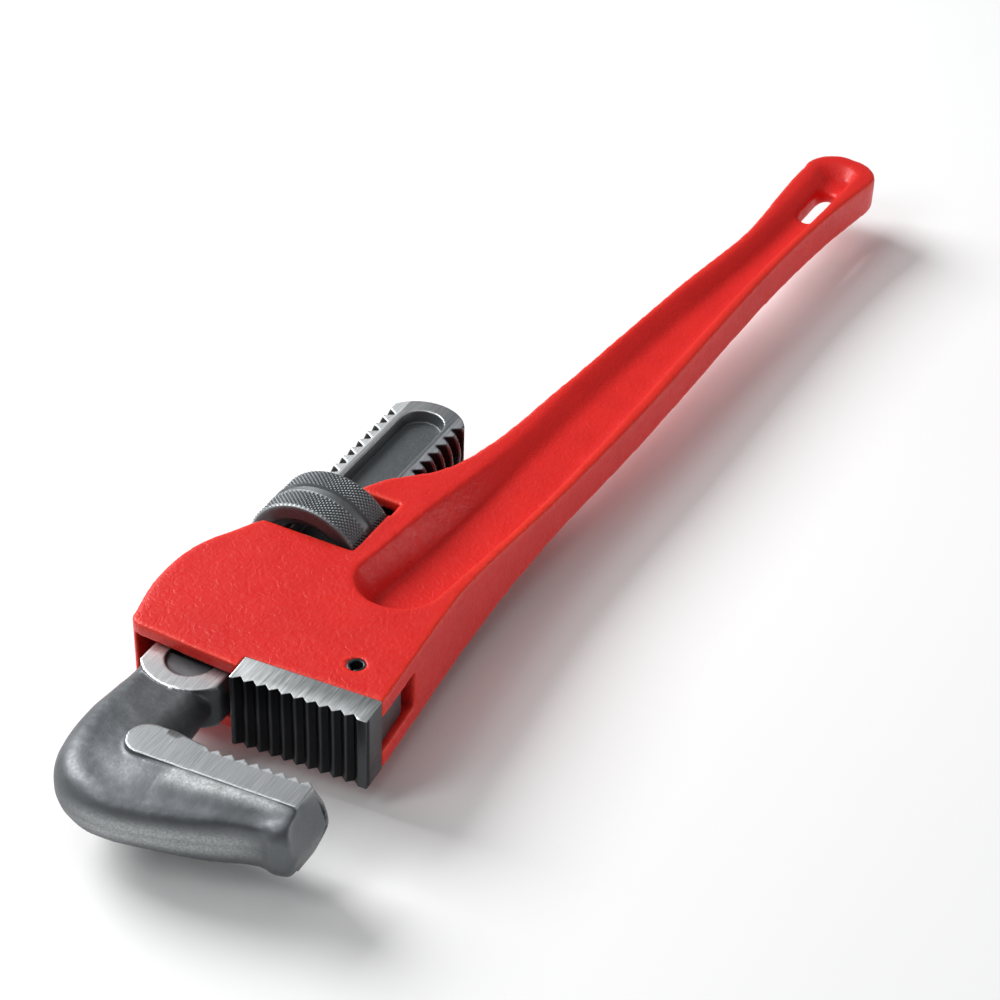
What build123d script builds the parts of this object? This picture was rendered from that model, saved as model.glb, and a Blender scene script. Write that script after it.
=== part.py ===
from build123d import *
import math
import os

# Heavy-duty straight pipe wrench, 450 mm (18 in) class, lying on its broad side.
# Working frame of every function, in mm: X runs along the shank of the hook jaw from
# the jaws to the tail, with X = 0 at the adjusting nut's front face; Y = 0 is the
# shank's centre line, +Y its back and -Y the handle's side; Z = 0 is the plane that
# halves the wrench's thickness. place() moves the pieces to the object's own frame:
# the origin is the centre of the bounding box's underside.

# ---- shank and its thread ----
SHANK_R = 15.3  # outside radius of the thread, and of the shank's narrow sides
SHANK_HALF_T = 7.6  # half the thickness over the ground broad sides
SHANK_TAIL_X = 89.1
SHANK_TAIL_R = 13.6  # plan radius of the rounded tail
SHANK_RING_X = -78.2  # front of the ground ring round the pockets
SHANK_RING_R = 12.6
THREAD_PITCH = 5.4
THREAD_ROOT_R = 12.9
THREAD_FIRST_ROOT_X = 0.4  # where the root crosses the +Y side
THREAD_START_X = -33.0
ROOT_HALF_FLAT = 0.45  # half the width of the root's floor
FLANK_SLOPE = 0.75  # axial run of a flank for each mm of depth
SHANK_POCKET_HALF_W = 8.0
SHANK_POCKET_FRONT_X = -72.3
SHANK_POCKET_TAIL_X = 83.5
SHANK_POCKET_FLOOR = 3.4  # half the web left between the two pockets

# ---- adjusting nut ----
NUT_R = 21.5
NUT_LEN = 21.5
NUT_GROOVE_W = 3.2
NUT_GROOVE_DEPTH = 1.3
NUT_CHAMFER = 1.0
THREAD_GAP = 0.35  # radial gap between the nut's thread and the shank's
FLANK_GAP = 0.3  # axial gap at each flank

# ---- jaws ----
JAW_TILT = 3.0  # degrees that both rows of teeth lean away from the Y axis
TOOTH_PITCH = 4.1
TOOTH_DEPTH = 1.8
HEEL_CORNER = (-71.4, -17.6)  # tip line of the heel jaw, at its inner end
HEEL_LEN = 44.9
HEEL_DEPTH = 10.1
HEEL_HALF_T = 13.1
HEEL_GROOVES = 10
HEEL_FIRST_GROOVE = 3.1
HOOK_TIP_1 = (-98.7, -28.6)  # a point on the tip line of the hook jaw
HOOK_FIRST_GROOVE = 1.3  # from that point along the row
HOOK_GROOVES = 9
PAD_HALF_T = 12.4  # ground faces beside the hook jaw's teeth
PAD_DEPTH = 10.8
HOOK_CLEAR_FROM = -11.2  # the throat is relieved from here, so the heel jaw can close on the teeth
PAD_FAR_END = -23.5  # the pad's rounded end over the throat, from that point
PAD_THROAT_BULGE = 1.4  # how far the pad stands out past the tip line at the throat
NOSE_Y = -66.3  # the nose's furthest point, on the mid plane
NOSE_BEVEL = 3.6  # how far the nose falls back at the pad's faces

# ---- handle casting ----
HEAD_HALF_T = 13.0
WEB_HALF_T = 2.6
POCKET_DRAFT = 2.6  # how far each pocket's near wall leans in by the time it meets the web
GRIP_END_X = 326.5
WINDOW_FRONT_X = -1.7
WINDOW_REAR_X = 27.2
WINDOW_R = 22.9
BEAK_TIP = (28.7, -4.3)  # the casting's point behind the nut
CHANNEL_HALF_T = 8.5
CHANNEL_NEAR_Y = -16.1
CHANNEL_BACK_Y = 20.6
CHEEK_GAP_HALF_T = 8.4
PIN_R = 3.0
PIN_BORE_R = 3.0
PIN_X, PIN_Y = -48.4, -47.2
TANG_HALF_T = 6.1
TANG_SLOT_HALF_T = 6.4
HANG_SLOT = (290.0, -59.6)
HANG_SLOT_LEN = 26.0
HANG_SLOT_W = 8.0

# ---- springs ----
LEAF_T = 1.2
LEAF_HALF_W = 5.5
LEAF_Y = 15.75  # face of the leaf that bears on the shank
LEAF_FRONT_X, LEAF_REAR_X = -57.5, -16.0
COIL_X = -38.0
COIL_OD = 8.4
COIL_WIRE = 1.2
COIL_TURNS = 4.5
COIL_SEAT_Y = 25.0
COIL_SEAT_R = 5.0

LEAN = math.radians(JAW_TILT)
ALONG = Vector(math.sin(LEAN), -math.cos(LEAN))  # along a row of teeth, towards its outer end
BACK = Vector(math.cos(LEAN), math.sin(LEAN))  # square to it, towards the tail


def on_row(corner, along, back=0.0):
    """Point at a distance along a row of teeth and behind its tip line."""
    point = Vector(*corner) + ALONG * along + BACK * back
    return (point.X, point.Y)


def slab(outline, half_t):
    """Outline in plan, extruded to both sides of the mid plane."""
    return extrude(outline, amount=half_t, both=True)


def block(x0, x1, y0, y1, z0, z1):
    return Pos(x0, y0, z0) * Box(x1 - x0, y1 - y0, z1 - z0, align=(Align.MIN,) * 3)


def slot_plan(x0, x1, y, half_w):
    """Obround in plan from x0 to x1."""
    return Pos((x0 + x1) / 2, y) * SlotOverall(x1 - x0, 2 * half_w)


# ---- thread ----
ALONG_X = Location((0, 0, 0), (0, 90, 0)) * Location((0, 0, 0), (0, 0, 90))


def helical_groove(radius, inner, outer, half_inner, half_outer, start_x, start_deg, turn_part):
    """Right-handed groove round the X axis; start_deg is measured from +Y towards +Z."""
    coil = Helix(pitch=THREAD_PITCH, height=THREAD_PITCH * turn_part, radius=radius)
    plane = Plane(origin=coil @ 0, x_dir=(1, 0, 0), z_dir=coil % 0)
    profile = plane * Polygon(
        (inner - radius, -half_inner),
        (outer - radius, -half_outer),
        (outer - radius, half_outer),
        (inner - radius, half_inner),
        align=None,
    )
    groove = sweep(profile, path=coil, is_frenet=True)
    return Pos(start_x, 0, 0) * Rot(start_deg, 0, 0) * ALONG_X * groove


def shank_thread_cut():
    """The thread's root, in arcs over the two narrow sides only."""
    arc = 110.0
    over = 0.5
    half_outer = ROOT_HALF_FLAT + (SHANK_R + over - THREAD_ROOT_R) * FLANK_SLOPE
    turns = int((SHANK_TAIL_X - THREAD_START_X) / THREAD_PITCH)
    first = THREAD_FIRST_ROOT_X + THREAD_PITCH * math.floor(THREAD_START_X / THREAD_PITCH)
    cuts = []
    for half_turn in range(2 * turns):
        x = first + THREAD_PITCH * (half_turn / 2 - arc / 720)
        cuts.append(
            helical_groove(
                SHANK_R, THREAD_ROOT_R, SHANK_R + over, ROOT_HALF_FLAT, half_outer,
                x, 180 * (half_turn % 2) - arc / 2, arc / 360,
            )
        )
    return cuts


# ---- hook jaw ----
def shank():
    bar = Pos(SHANK_RING_X - 1, 0, 0) * Rot(0, 90, 0) * Cylinder(
        SHANK_R, SHANK_TAIL_X - SHANK_RING_X + 2, align=(Align.CENTER, Align.CENTER, Align.MIN)
    )
    front = SHANK_RING_X + SHANK_RING_R
    tail = SHANK_TAIL_X - SHANK_TAIL_R
    plan = Pos((front + tail) / 2, 0) * Rectangle(tail - front, 2 * SHANK_R)
    plan += Pos(tail, 0) * Ellipse(SHANK_TAIL_R, SHANK_R)
    plan += Pos(front, 0) * Ellipse(SHANK_RING_R, SHANK_R)
    bar &= slab(plan, SHANK_HALF_T)
    for cut in shank_thread_cut():
        bar -= cut
    pocket = slot_plan(SHANK_POCKET_FRONT_X, SHANK_POCKET_TAIL_X, 0, SHANK_POCKET_HALF_W)
    for side in (1, -1):
        depth = SHANK_HALF_T - SHANK_POCKET_FLOOR
        bar -= extrude(Pos(0, 0, side * SHANK_HALF_T) * pocket, amount=-side * depth, taper=12)
    return bar


# Sections of the forged hook: three across the neck, a fan round the throat, then the jaw.
# Each is (inner point, outer point, thickness, corner radius), the points in plan.
THROAT = (-92.0, -22.0)
NECK_SECTIONS = [
    ((-64.0, -12.0), (-64.0, 13.4), 13.0, 5.8),
    ((-76.5, -12.4), (-76.5, 14.8), 14.0, 6.2),
    ((-84.0, -12.9), (-84.0, 15.4), 15.2, 6.6),
]
FAN_SECTIONS = [  # degrees round the throat, inner radius, outer radius, thickness, corner radius
    (0, 8.2, 37.8, 16.6, 7.2),
    (22, 7.2, 39.7, 18.6, 8.2),
    (45, 6.6, 43.2, 20.4, 9.2),
    (68, 7.2, 40.7, 21.6, 9.6),
    (90, 8.6, 35.9, 22.4, 9.8),
]
JAW_SECTIONS = [
    ((-100.4, -33.0), (-124.8, -33.0), 22.8, 9.2),
    ((-99.7, -46.0), (-119.8, -46.0), 23.0, 7.6),
    ((-99.1, -56.0), (-116.4, -56.8), 22.6, 7.4),
    ((-98.6, -67.0), (-113.4, -68.4), 21.0, 7.0),
]


def fan_section(degrees, inner_r, outer_r, thickness, corner):
    turn = math.radians(degrees)
    ray = Vector(-math.sin(turn), math.cos(turn))
    inner = Vector(*THROAT) + ray * inner_r
    outer = Vector(*THROAT) + ray * outer_r
    return ((inner.X, inner.Y), (outer.X, outer.Y), thickness, corner)


HOOK_SECTIONS = NECK_SECTIONS + [fan_section(*section) for section in FAN_SECTIONS] + JAW_SECTIONS


def hook_section(inner, outer, thickness, corner):
    inner, outer = Vector(*inner), Vector(*outer)
    across = (outer - inner).normalized()
    middle = (inner + outer) * 0.5
    plane = Plane(origin=middle, x_dir=across, z_dir=across.cross(Vector(0, 0, 1)))
    return plane * RectangleRounded((outer - inner).length, thickness, corner)


def hook_pad():
    """Ground pad that carries the hook jaw's teeth; its far end is round in plan."""
    past_nose = 42.0
    round_start = PAD_FAR_END + PAD_DEPTH / 2
    teeth = [on_row(HOOK_TIP_1, past_nose)]
    for k in reversed(range(HOOK_GROOVES)):
        middle = HOOK_FIRST_GROOVE + k * TOOTH_PITCH
        teeth += [
            on_row(HOOK_TIP_1, middle + TOOTH_PITCH / 2),
            on_row(HOOK_TIP_1, middle, -TOOTH_DEPTH),
        ]
    teeth += [
        on_row(HOOK_TIP_1, HOOK_FIRST_GROOVE - TOOTH_PITCH / 2),
        on_row(HOOK_TIP_1, HOOK_FIRST_GROOVE - TOOTH_PITCH),
        on_row(HOOK_TIP_1, HOOK_CLEAR_FROM, PAD_THROAT_BULGE),
        on_row(HOOK_TIP_1, round_start, PAD_THROAT_BULGE),
    ]
    back = [
        on_row(HOOK_TIP_1, round_start, -PAD_DEPTH),
        on_row(HOOK_TIP_1, past_nose, -PAD_DEPTH),
        teeth[0],
    ]
    far_middle = on_row(HOOK_TIP_1, PAD_FAR_END, (PAD_THROAT_BULGE - PAD_DEPTH) / 2)
    far_end = ThreePointArc(teeth[-1], far_middle, back[0])
    outline = Wire([*Polyline(*teeth).edges(), far_end, *Polyline(*back).edges()])
    return slab(make_face(outline), PAD_HALF_T)


def nose_profile():
    """Bar along X whose -Y side is the nose's blunt, two-way bevel; the hook is cut to it."""
    half_flat = 4.5
    bevel_start = NOSE_Y + 0.25 * NOSE_BEVEL
    edges = [
        *Polyline((bevel_start, half_flat), (NOSE_Y + NOSE_BEVEL, PAD_HALF_T), (40, PAD_HALF_T)).edges(),
        Line((40, PAD_HALF_T), (40, -PAD_HALF_T)),
        *Polyline((40, -PAD_HALF_T), (NOSE_Y + NOSE_BEVEL, -PAD_HALF_T), (bevel_start, -half_flat)).edges(),
        ThreePointArc((bevel_start, -half_flat), (NOSE_Y, 0), (bevel_start, half_flat)),
    ]
    return Pos(-140, 0, 0) * extrude(Plane.YZ * make_face(Wire(edges)), amount=100)


def hook_jaw():
    forged = loft([hook_section(*section) for section in HOOK_SECTIONS])
    behind = [
        on_row(HOOK_TIP_1, HOOK_CLEAR_FROM, -TOOTH_DEPTH),
        on_row(HOOK_TIP_1, 60.0, -TOOTH_DEPTH),
        on_row(HOOK_TIP_1, 60.0, 12.0),
        on_row(HOOK_TIP_1, HOOK_CLEAR_FROM, 12.0),
    ]
    forged -= slab(make_face(Polyline(*behind, close=True)), 20)
    return shank() + ((forged + hook_pad()) & nose_profile())


# ---- adjusting nut ----
def adjusting_nut():
    nut = Rot(0, 90, 0) * Cylinder(NUT_R, NUT_LEN, align=(Align.CENTER, Align.CENTER, Align.MIN))
    nut = chamfer(nut.edges().filter_by(GeomType.CIRCLE), NUT_CHAMFER)
    ring = Rot(0, 90, 0) * (Cylinder(NUT_R + 1, NUT_GROOVE_W) - Cylinder(NUT_R - NUT_GROOVE_DEPTH, NUT_GROOVE_W))
    nut -= Pos(NUT_LEN / 2, 0, 0) * ring
    bore_r = THREAD_ROOT_R + THREAD_GAP
    nut -= Pos(-1, 0, 0) * Rot(0, 90, 0) * Cylinder(
        bore_r, NUT_LEN + 2, align=(Align.CENTER, Align.CENTER, Align.MIN)
    )
    over = 0.5
    crest_r = SHANK_R + THREAD_GAP

    def half_at(r):
        return THREAD_PITCH / 2 - ROOT_HALF_FLAT - (r - THREAD_ROOT_R) * FLANK_SLOPE + FLANK_GAP

    first = THREAD_FIRST_ROOT_X - 1.5 * THREAD_PITCH
    for turn in range(math.ceil(NUT_LEN / THREAD_PITCH) + 2):
        nut -= helical_groove(
            bore_r, bore_r - over, crest_r, half_at(bore_r - over), half_at(crest_r),
            first + turn * THREAD_PITCH, 0, 1,
        )
    return nut


# ---- heel jaw and its pin ----
def heel_jaw():
    points = [on_row(HEEL_CORNER, HEEL_LEN, HEEL_DEPTH), on_row(HEEL_CORNER, HEEL_LEN)]
    for k in reversed(range(HEEL_GROOVES)):
        middle = HEEL_FIRST_GROOVE + k * TOOTH_PITCH
        points += [
            on_row(HEEL_CORNER, middle + TOOTH_PITCH / 2),
            on_row(HEEL_CORNER, middle, TOOTH_DEPTH),
        ]
    points += [
        on_row(HEEL_CORNER, HEEL_FIRST_GROOVE - TOOTH_PITCH / 2),
        on_row(HEEL_CORNER, 0),
        on_row(HEEL_CORNER, 0, HEEL_DEPTH),
    ]
    jaw = slab(make_face(Polyline(*points, close=True)), HEEL_HALF_T)
    tang = [
        on_row(HEEL_CORNER, 5.0, HEEL_DEPTH - 1),
        on_row(HEEL_CORNER, HEEL_LEN - 1.5, HEEL_DEPTH - 1),
        on_row(HEEL_CORNER, HEEL_LEN - 2.5, HEEL_DEPTH + 17.5),
        on_row(HEEL_CORNER, HEEL_LEN - 6.0, HEEL_DEPTH + 20),
        on_row(HEEL_CORNER, 12.0, HEEL_DEPTH + 20),
        on_row(HEEL_CORNER, 5.0, HEEL_DEPTH + 14),
    ]
    jaw += slab(make_face(Polyline(*tang, close=True)), TANG_HALF_T)
    return jaw - Pos(PIN_X, PIN_Y, 0) * Cylinder(PIN_BORE_R, 60)


def heel_jaw_pin():
    """Slotted spring pin, flush with both sides of the head."""
    pin = Cylinder(PIN_R, 2 * HEAD_HALF_T) - Cylinder(PIN_R - 1.0, 60)
    pin -= block(-PIN_R - 1, 0, -0.45, 0.45, -60, 60)
    return Pos(PIN_X, PIN_Y, 0) * pin


# ---- springs ----
def flat_spring():
    """Leaf that rides on the back of the shank, with curled ends."""
    leaf = block(LEAF_FRONT_X, LEAF_REAR_X, LEAF_Y, LEAF_Y + LEAF_T, -LEAF_HALF_W, LEAF_HALF_W)
    seat = Pos(COIL_X, LEAF_Y + LEAF_T, 0) * Rot(90, 0, 0) * Cylinder(2.6, 2.4)
    return leaf + seat


def coil_spring():
    """Compression spring between the leaf and its seat in the back wall."""
    low = LEAF_Y + LEAF_T + 0.05
    height = COIL_SEAT_Y - low - COIL_WIRE
    path = Helix(pitch=height / COIL_TURNS, height=height, radius=(COIL_OD - COIL_WIRE) / 2)
    wire = sweep(Plane(origin=path @ 0, z_dir=path % 0) * Circle(COIL_WIRE / 2), path=path, is_frenet=True)
    return Pos(COIL_X, COIL_SEAT_Y - COIL_WIRE / 2 - 0.02, 0) * Rot(90, 0, 0) * wire


# ---- handle casting ----
def outer_plan():
    """The casting's outline: head, beak behind the nut, and the long grip."""
    back = Spline([(-59.0, 23.6), (-42.0, 27.4), (-24.0, 26.2), (-8.0, 18.4), (0.0, 12.6)])
    heel_top = on_row(HEEL_CORNER, -0.1, HEEL_DEPTH)
    heel_end = on_row(HEEL_CORNER, HEEL_LEN + 0.3, HEEL_DEPTH)
    near = Spline([heel_end, (-38.0, -60.6), (0.0, -58.0), (30.0, -58.2), (90.0, -61.3)])
    grip_near = Spline([(90.0, -61.3), (180.0, -63.9), (237.0, -65.5), (275.0, -68.5), (309.0, -73.4)])
    grip_far = Spline([(311.0, -45.0), (275.0, -44.9), (252.0, -45.0), (228.0, -42.2), (196.0, -37.9)])
    shoulder = Spline([(126.0, -30.9), (96.0, -27.7), (72.0, -24.6), (52.0, -18.6), (40.0, -9.2), BEAK_TIP])
    end = [
        ThreePointArc((309.0, -73.4), (321.5, -70.6), (326.3, -61.0)),
        Line((326.3, -61.0), (GRIP_END_X, -55.0)),
        ThreePointArc((GRIP_END_X, -55.0), (321.5, -47.2), (311.0, -45.0)),
    ]
    edges = [
        Line((-64.2, 18.5), (-65.9, heel_top[1])),
        Line((-65.9, heel_top[1]), heel_top),
        Line(heel_top, heel_end),
        near,
        grip_near,
        *end,
        grip_far,
        Line((196.0, -37.9), (126.0, -30.9)),
        shoulder,
        Line(BEAK_TIP, (WINDOW_REAR_X, BEAK_TIP[1] - 1)),
        Line((WINDOW_REAR_X, BEAK_TIP[1] - 1), (WINDOW_REAR_X, 12.6)),
        Line((WINDOW_REAR_X, 12.6), (0.0, 12.6)),
        back,
        ThreePointArc((-59.0, 23.6), (-62.6, 21.9), (-64.2, 18.5)),
    ]
    return make_face(Wire(edges))


def side_profile(heights):
    """Thickness of the casting against X, as a solid to intersect with."""
    top = Spline(heights)
    x0, z0 = heights[0]
    x1, z1 = heights[-1]
    end_x = GRIP_END_X + 5
    upper = [
        Line((-80, -z0), (-80, z0)),
        Line((-80, z0), (x0, z0)),
        top,
        Line((x1, z1), (end_x, z1)),
        Line((end_x, z1), (end_x, -z1)),
        Line((end_x, -z1), (x1, -z1)),
        Spline([(x, -z) for x, z in reversed(heights)]),
        Line((x0, -z0), (-80, -z0)),
    ]
    return extrude(Plane.XZ * make_face(Wire(upper)), amount=100, both=True)


POCKET_TOP_Z = HEAD_HALF_T + 0.5
# Each point of the far wall is (x, y at POCKET_TOP_Z, y at its foot on the web).
POCKET_FAR = [
    (-6.0, -23.6, -30.6),
    (45.0, -27.2, -36.3),
    (96.0, -24.2, -39.7),
    (200.0, -32.5, -48.5),
    (250.0, -41.0, -54.6),
    (276.0, -41.4, -56.4),
    (308.0, -41.2, -57.3),
]
POCKET_NEAR = [
    (308.0, -67.0), (272.0, -65.4), (236.0, -62.6), (200.0, -61.0), (90.0, -58.6), (30.0, -55.6), (-7.0, -52.8),
]


def pocket_outline(foot):
    """Recess between the two flanges: its rim, or its foot on the web. The far wall slopes most."""
    far = [(x, low if foot else high) for x, high, low in POCKET_FAR]
    near = [(x, y + (POCKET_DRAFT if foot else -0.1)) for x, y in POCKET_NEAR]
    tip = (313.6, -60.6) if foot else (328.5, -54.4)
    nose = (-15.2, -42.0) if foot else (-21.1, -39.4)
    edges = [
        Spline(far),
        ThreePointArc(far[-1], tip, near[0]),
        Spline(near),
        ThreePointArc(near[-1], nose, far[0]),
    ]
    return make_face(Wire(edges))


def handle_pocket(side):
    wide = Pos(0, 0, side * POCKET_TOP_Z) * pocket_outline(False)
    narrow = Pos(0, 0, side * WEB_HALF_T) * pocket_outline(True)
    return loft([wide, narrow])


def handle_body():
    plan = slab(outer_plan(), HEAD_HALF_T)
    near_taper = side_profile([(-6, 13.0), (8, 11.9), (25, 10.2), (45, 8.5), (80, 7.4)])
    far_taper = side_profile([(6, 13.0), (30, 12.3), (55, 9.8), (80, 7.9), (105, 7.4)])
    split = make_face(Polyline((-80, -40), (400, -56), (400, -140), (-80, -140), close=True))
    near_side = slab(split, 30)
    return (plan & near_side & near_taper) + ((plan - near_side) & far_taper)


def nut_window():
    """Space for the nut, open right through and towards the back."""
    span = WINDOW_REAR_X - WINDOW_FRONT_X
    tunnel = Pos(WINDOW_FRONT_X, 0, 0) * Rot(0, 90, 0) * Cylinder(
        WINDOW_R, span, align=(Align.CENTER, Align.CENTER, Align.MIN)
    )
    return tunnel + block(WINDOW_FRONT_X, WINDOW_REAR_X, 0, 60, -40, 40)


def shank_channel():
    """Channel through the head, then the gap between the beak's cheeks."""
    plan = [
        (-80, CHANNEL_NEAR_Y),
        (WINDOW_FRONT_X + 1, CHANNEL_NEAR_Y),
        (WINDOW_FRONT_X + 1, 17.8),
        (-10, 17.8),
        (-22, CHANNEL_BACK_Y),
        (-80, CHANNEL_BACK_Y),
    ]
    front = slab(make_face(Polyline(*plan, close=True)), CHANNEL_HALF_T)
    rear = block(WINDOW_REAR_X - 1, 34, -16.9, 40, -CHEEK_GAP_HALF_T, CHEEK_GAP_HALF_T)
    rear += block(33, 120, -20.2, 40, -CHEEK_GAP_HALF_T, CHEEK_GAP_HALF_T)
    seat = Pos(COIL_X, COIL_SEAT_Y, 0) * Rot(90, 0, 0) * Cylinder(
        COIL_SEAT_R, 8, align=(Align.CENTER, Align.CENTER, Align.MIN)
    )
    return front, rear, seat


def heel_slot():
    """Slot for the heel jaw's tang, open at the head and at the near side."""
    plan = [
        on_row(HEEL_CORNER, 4.7, HEEL_DEPTH - 2),
        on_row(HEEL_CORNER, 60, HEEL_DEPTH - 2),
        on_row(HEEL_CORNER, 60, HEEL_DEPTH + 22.5),
        on_row(HEEL_CORNER, 9, HEEL_DEPTH + 22.5),
        on_row(HEEL_CORNER, 4.7, HEEL_DEPTH + 20),
    ]
    return slab(make_face(Polyline(*plan, close=True)), TANG_SLOT_HALF_T)


def handle():
    body = handle_body()
    for side in (1, -1):
        body -= handle_pocket(side)
    body -= nut_window()
    for space in shank_channel():
        body -= space
    body -= heel_slot()
    body -= Pos(PIN_X, PIN_Y, 0) * Cylinder(PIN_BORE_R, 60)
    x, y = HANG_SLOT
    body -= slab(slot_plan(x - HANG_SLOT_LEN / 2, x + HANG_SLOT_LEN / 2, y, HANG_SLOT_W / 2), 30)
    return body


PIECES = {
    "handle": handle,
    "hook_jaw": hook_jaw,
    "heel_jaw": heel_jaw,
    "heel_jaw_pin": heel_jaw_pin,
    "adjusting_nut": adjusting_nut,
    "flat_spring": flat_spring,
    "coil_spring": coil_spring,
}


def place(pieces):
    """Moves every piece so that the origin is the centre of the box's underside."""
    box = Compound(children=[piece.solids()[0] for piece in pieces.values()]).bounding_box()
    shift = Pos(-box.center().X, -box.center().Y, -box.min.Z)
    print("shank axis at", [round(v, 3) for v in tuple(shift.position)], "size", box.size)
    return {name: shift * piece for name, piece in pieces.items()}


os.makedirs("parts", exist_ok=True)
for name, piece in place({name: make() for name, make in PIECES.items()}).items():
    export_step(piece, f"parts/{name}.step")
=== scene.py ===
# %% [markdown]
# # A heavy pipe wrench, from its design to its looks
#
# The wrench arrives as a packed design: seven CAD nodes with true sizes, on four bodies that
# move. This script keeps that frame and gives each piece the surface it has on the bench: a
# sand casting under red enamel, a forged hook jaw, a ground heel jaw, a knurled nut.

import math

import bmesh
import bpy
import numpy as np
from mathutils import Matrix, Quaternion, Vector, noise


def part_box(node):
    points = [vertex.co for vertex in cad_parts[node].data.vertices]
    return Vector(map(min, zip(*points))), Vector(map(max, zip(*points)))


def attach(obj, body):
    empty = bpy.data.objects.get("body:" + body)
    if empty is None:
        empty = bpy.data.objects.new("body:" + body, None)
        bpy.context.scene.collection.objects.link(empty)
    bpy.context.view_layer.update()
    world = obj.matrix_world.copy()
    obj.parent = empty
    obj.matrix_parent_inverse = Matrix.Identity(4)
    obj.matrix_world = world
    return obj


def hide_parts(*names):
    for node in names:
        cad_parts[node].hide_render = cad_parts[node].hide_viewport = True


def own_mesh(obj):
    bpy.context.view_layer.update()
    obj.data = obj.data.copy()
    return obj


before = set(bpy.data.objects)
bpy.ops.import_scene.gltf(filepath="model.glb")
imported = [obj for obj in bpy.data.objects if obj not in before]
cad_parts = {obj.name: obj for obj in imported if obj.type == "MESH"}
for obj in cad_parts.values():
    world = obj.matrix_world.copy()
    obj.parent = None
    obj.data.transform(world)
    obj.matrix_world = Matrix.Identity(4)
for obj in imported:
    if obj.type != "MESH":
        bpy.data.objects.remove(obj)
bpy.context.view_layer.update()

# %% [markdown]
# ## One origin for every measure
#
# A maker measures a wrench from its screw. The nut's front face is 0 along the shank (x), the
# shank's centre line is 0 across it (y) and through it (z). The frame gives that point, because
# the nut's box is centred on the shank. All sizes below are in millimetres from there.

# %% Millimetres, and points measured from the nut
def mm(value):
    """Millimetres as Blender's metres."""
    return value / 1000


nut_low, nut_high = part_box("adjusting_nut")
SHANK_ORIGIN = Vector((nut_low.x, (nut_low.y + nut_high.y) / 2, (nut_low.z + nut_high.z) / 2))


def measured(points):
    """An array of frame points as millimetres from the nut."""
    return (points - np.array(SHANK_ORIGIN)) * 1000


print("shank origin, metres:", [round(v, 4) for v in SHANK_ORIGIN])

# %% [markdown]
# ## The camera
#
# A catalogue view: from the jaws' end, from above, with a long lens, so that the wrench shrinks
# only a little towards its far end. A camera in Blender looks along its own -Z axis.
# to_track_quat aims that axis, and a small turn about it gives the roll.

# %% Aim the camera
VIEW_FROM = Vector((-0.6199, -0.3028, 0.5038))
VIEW_TO = Vector((-0.0384, -0.0156, 0.0215))
ROLL = 2.07  # degrees
LENS = 88.33  # for a 36 mm wide film

camera = bpy.data.objects.new("camera", bpy.data.cameras.new("camera"))
camera.data.lens = LENS
camera.data.clip_start = 0.01
camera.location = VIEW_FROM
camera.rotation_mode = "QUATERNION"
aimed = (VIEW_TO - VIEW_FROM).to_track_quat("-Z", "Y")
camera.rotation_quaternion = aimed @ Quaternion((0, 0, 1), math.radians(ROLL))
bpy.context.scene.collection.objects.link(camera)
bpy.context.scene.camera = camera
print("camera distance, metres:", round((VIEW_TO - VIEW_FROM).length, 3))

# %% [markdown]
# ## Helpers for materials
#
# Colours are picked as sRGB hex codes, as a paint chart lists them, but a shader adds
# up light, so it needs linear values. Pattern sizes are real: a noise texture on Object
# coordinates repeats about every 1/scale metres.

# %% Colour, pattern size, and one function that adds any node
def colour(code):
    """An sRGB hex colour as the linear RGBA that a shader needs."""
    channels = [int(code[i : i + 2], 16) / 255 for i in (1, 3, 5)]
    linear = [c / 12.92 if c <= 0.04045 else ((c + 0.055) / 1.055) ** 2.4 for c in channels]
    return (*linear, 1.0)


def pattern(size_mm):
    """Texture scale for a pattern of that size."""
    return 1000 / size_mm


def add(tree, kind, inputs=None, **settings):
    """Adds one node, sets it and feeds its inputs. Returns its first live output."""
    node = tree.nodes.new(kind)
    for name, value in settings.items():
        setattr(node, name, value)
    for key, value in (inputs or {}).items():
        if isinstance(value, bpy.types.NodeSocket):
            tree.links.new(value, node.inputs[key])
        else:
            node.inputs[key].default_value = value
    return next((socket for socket in node.outputs if socket.enabled), node)


def maths(tree, operation, *values):
    """Adds one Math node that works on the values."""
    return add(tree, "ShaderNodeMath", dict(enumerate(values)), operation=operation)


def ramp(tree, value, start=0.0, end=1.0, low=0.0, high=1.0):
    """Maps a value from start to end onto low to high, and stops there."""
    span = {"Value": value, "From Min": start, "From Max": end, "To Min": low, "To Max": high}
    return add(tree, "ShaderNodeMapRange", span)


def tinted(tree, share, under, over):
    """Lays one colour over another by a share. Each is a socket or a hex code."""
    under, over = (colour(tint) if isinstance(tint, str) else tint for tint in (under, over))
    return add(tree, "ShaderNodeMix", {"Factor": share, 6: under, 7: over}, data_type="RGBA")


def new_material(name):
    """An empty node material, and its tree."""
    material = bpy.data.materials.new(name)
    material.use_nodes = True
    material.node_tree.nodes.clear()
    return material, material.node_tree


ENAMEL_RED = "#d8241f"
print("linear red of the enamel:", [round(c, 3) for c in colour(ENAMEL_RED)[:3]])
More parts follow.
